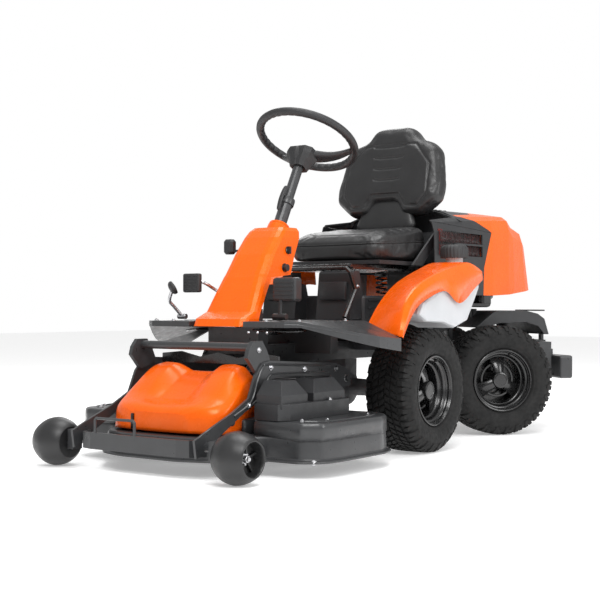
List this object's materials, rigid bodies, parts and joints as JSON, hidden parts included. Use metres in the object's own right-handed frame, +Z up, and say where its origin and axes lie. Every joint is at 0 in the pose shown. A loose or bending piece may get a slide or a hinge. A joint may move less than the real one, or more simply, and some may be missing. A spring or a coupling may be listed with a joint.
{
  "type": "riding mower",
  "caption": "Front-deck riding lawn mower with an articulated rear section, a cutting deck on a lifting frame, a seat and a steering column.",
  "frame": {"origin": "on the ground, under the middle of the whole machine's box as it stands", "axes": "-Y to the machine's front, +X to its left, +Z up"},
  "size_m": [0.9908, 2.2794, 1.164],
  "materials": {
    "orange": "glossy bright orange",
    "dark_plastic": "satin charcoal",
    "dark_paint": "satin dark grey powder coat",
    "black_paint": "semi-gloss black",
    "vinyl": "fine-grained black vinyl over foam",
    "tyre": "matt black rubber",
    "tank": "translucent white",
    "steel": "bright zinc",
    "casting": "rough casting"
  },
  "bodies": {
    "chassis": {"main_frame": "dark_paint", "front_transaxle": "casting", "footplate": "dark_paint", "console_cover": "orange", "column_tube": "dark_paint", "seat_support": "dark_plastic", "seat_stay": "black_paint", "seat_spring": "black_paint", "fender_left": "orange", "fender_right": "orange", "fuel_tank": "tank", "engine_block": "casting", "muffler": "black_paint"},
    "fuel_cap": {"fuel_cap": "dark_plastic"},
    "column": {"column_upper_tube": "dark_paint"},
    "steering_wheel": {"steering_wheel": "dark_plastic"},
    "column_lever": {"column_lever": "dark_plastic"},
    "throttle_lever": {"throttle_lever": "dark_plastic"},
    "ignition_key": {"ignition_key": "dark_plastic"},
    "blade_knob": {"blade_knob": "dark_plastic"},
    "forward_pedal": {"forward_pedal": "steel"},
    "reverse_pedal": {"reverse_pedal": "steel"},
    "brake_pedal": {"brake_pedal": "dark_plastic"},
    "lift_lever": {"lift_lever": "black_paint"},
    "seat_carrier": {"seat_carrier": "black_paint"},
    "seat": {"seat_pan": "dark_plastic", "seat_cushion": "vinyl", "seat_backrest": "vinyl"},
    "hood": {"hood_shell": "orange", "hood_top": "dark_plastic", "grille_left": "dark_plastic", "grille_right": "dark_plastic"},
    "equipment_frame": {"frame_arm_left": "dark_paint", "frame_arm_right": "dark_paint", "lift_cross_tube": "dark_paint", "lower_bar": "black_paint", "bumper_bar": "dark_paint"},
    "support_wheel_left": {"support_wheel_left": "dark_plastic"},
    "support_wheel_right": {"support_wheel_right": "dark_plastic"},
    "deck": {"deck_shell": "dark_paint", "deck_cover": "orange", "belt_cover_left": "dark_plastic", "belt_cover_right": "dark_plastic"},
    "blade_centre": {"blade_centre": "steel"},
    "blade_left": {"blade_left": "steel"},
    "blade_right": {"blade_right": "steel"},
    "rear_section": {"rear_frame": "dark_paint", "rear_transaxle": "casting", "pivot_pin": "steel", "rear_guard": "dark_plastic", "rear_bumper": "dark_paint"},
    "wheel_front_left": {"tyre_front_left": "tyre", "rim_front_left": "black_paint"},
    "wheel_front_right": {"tyre_front_right": "tyre", "rim_front_right": "black_paint"},
    "wheel_rear_left": {"tyre_rear_left": "tyre", "rim_rear_left": "black_paint"},
    "wheel_rear_right": {"tyre_rear_right": "tyre", "rim_rear_right": "black_paint"}
  },
  "joints": [
    {"name": "rear_steer", "type": "hinge", "parent": "chassis", "child": "rear_section", "pos_m": [-0.00439, 0.62606, 0.31], "axis": [0, 0, 1], "range_deg": [0, 80.3]},
    {"name": "column_height", "type": "slide", "parent": "chassis", "child": "column", "axis": [0, 0.4695, 0.8829], "range_m": [-0.03, 0.03]},
    {"name": "steering_wheel_turn", "type": "hinge", "parent": "column", "child": "steering_wheel", "pos_m": [-0.00439, -0.25634, 1.043], "axis": [0, 0.4695, 0.8829], "range_deg": [-723, 0]},
    {"name": "column_lever_turn", "type": "hinge", "parent": "chassis", "child": "column_lever", "pos_m": [-0.00439, -0.37672, 0.88049], "axis": [-1, 0, 0], "range_deg": [0, 30]},
    {"name": "throttle_turn", "type": "hinge", "parent": "chassis", "child": "throttle_lever", "pos_m": [-0.08439, -0.49764, 0.661], "axis": [1, 0, 0], "range_deg": [-25, 25]},
    {"name": "key_turn", "type": "hinge", "parent": "chassis", "child": "ignition_key", "pos_m": [0.07361, -0.47164, 0.659], "axis": [1, 0, 0], "range_deg": [0, 90]},
    {"name": "blade_knob_pull", "type": "slide", "parent": "chassis", "child": "blade_knob", "axis": [1, 0, 0], "range_m": [0, 0.01]},
    {"name": "forward_pedal_press", "type": "hinge", "parent": "chassis", "child": "forward_pedal", "pos_m": [-0.10239, -0.59264, 0.52], "axis": [1, 0, 0], "range_deg": [0, 18], "stiffness_Nm_per_rad": 4, "springref_deg": -17.19},
    {"name": "reverse_pedal_press", "type": "hinge", "parent": "chassis", "child": "reverse_pedal", "pos_m": [-0.24439, -0.62264, 0.446], "axis": [1, 0, 0], "range_deg": [0, 18], "stiffness_Nm_per_rad": 4, "springref_deg": -17.19},
    {"name": "brake_pedal_press", "type": "hinge", "parent": "chassis", "child": "brake_pedal", "pos_m": [0.14561, -0.61264, 0.446], "axis": [1, 0, 0], "range_deg": [0, 20], "stiffness_Nm_per_rad": 6, "springref_deg": -17.19},
    {"name": "lift_lever_pull", "type": "hinge", "parent": "chassis", "child": "lift_lever", "pos_m": [-0.22939, -0.11764, 0.47], "axis": [-1, 0, 0], "range_deg": [0, 48]},
    {"name": "fuel_cap_turn", "type": "hinge", "parent": "chassis", "child": "fuel_cap", "pos_m": [0.35561, 0.12036, 0.669], "axis": [0, 0, 1], "range_deg": [0, 180]},
    {"name": "seat_tilt", "type": "hinge", "parent": "chassis", "child": "seat_carrier", "pos_m": [-0.00439, -0.23264, 0.612], "axis": [1, 0, 0], "range_deg": [0, 28]},
    {"name": "seat_slide", "type": "slide", "parent": "seat_carrier", "child": "seat", "axis": [0, 1, 0], "range_m": [-0.05, 0.03]},
    {"name": "hood_open", "type": "hinge", "parent": "chassis", "child": "hood", "pos_m": [-0.00439, 0.95736, 0.53], "axis": [-1, 0, 0], "range_deg": [0, 75]},
    {"name": "deck_lift", "type": "hinge", "parent": "chassis", "child": "equipment_frame", "pos_m": [-0.00439, -0.37764, 0.25], "axis": [-1, 0, 0], "range_deg": [0, 12]},
    {"name": "support_wheel_left_roll", "type": "hinge", "parent": "equipment_frame", "child": "support_wheel_left", "pos_m": [0.34261, -1.06664, 0.0731], "axis": [1, 0, 0], "continuous": true},
    {"name": "support_wheel_right_roll", "type": "hinge", "parent": "equipment_frame", "child": "support_wheel_right", "pos_m": [-0.35139, -1.06664, 0.0731], "axis": [1, 0, 0], "continuous": true},
    {"name": "cut_height", "type": "slide", "parent": "equipment_frame", "child": "deck", "axis": [0, 0, 1], "range_m": [-0.01, 0.025]},
    {"name": "blade_centre_spin", "type": "hinge", "parent": "deck", "child": "blade_centre", "pos_m": [-0.00439, -0.83764, 0.1], "axis": [0, 0, 1], "continuous": true},
    {"name": "blade_left_spin", "type": "hinge", "parent": "deck", "child": "blade_left", "pos_m": [0.27561, -0.62764, 0.1], "axis": [0, 0, 1], "continuous": true},
    {"name": "blade_right_spin", "type": "hinge", "parent": "deck", "child": "blade_right", "pos_m": [-0.28439, -0.62764, 0.1], "axis": [0, 0, 1], "continuous": true},
    {"name": "wheel_front_left_roll", "type": "hinge", "parent": "chassis", "child": "wheel_front_left", "pos_m": [0.35161, -0.13764, 0.2035], "axis": [1, 0, 0], "continuous": true},
    {"name": "wheel_front_right_roll", "type": "hinge", "parent": "chassis", "child": "wheel_front_right", "pos_m": [-0.36039, -0.13764, 0.2035], "axis": [1, 0, 0], "continuous": true},
    {"name": "wheel_rear_left_roll", "type": "hinge", "parent": "rear_section", "child": "wheel_rear_left", "pos_m": [0.31474, 0.51816, 0.2035], "axis": [0.7644, -0.6448, 0], "continuous": true},
    {"name": "wheel_rear_right_roll", "type": "hinge", "parent": "rear_section", "child": "wheel_rear_right", "pos_m": [-0.16451, 0.92245, 0.2035], "axis": [0.7644, -0.6448, 0], "continuous": true}
  ],
  "couplings": [
    {"joint": "steering_wheel_turn", "follows": "rear_steer", "ratio": -9},
    {"joint": "lift_lever_pull", "follows": "deck_lift", "ratio": 4},
    {"joint": "blade_left_spin", "follows": "blade_centre_spin", "ratio": 1},
    {"joint": "blade_right_spin", "follows": "blade_centre_spin", "ratio": 1}
  ]
}
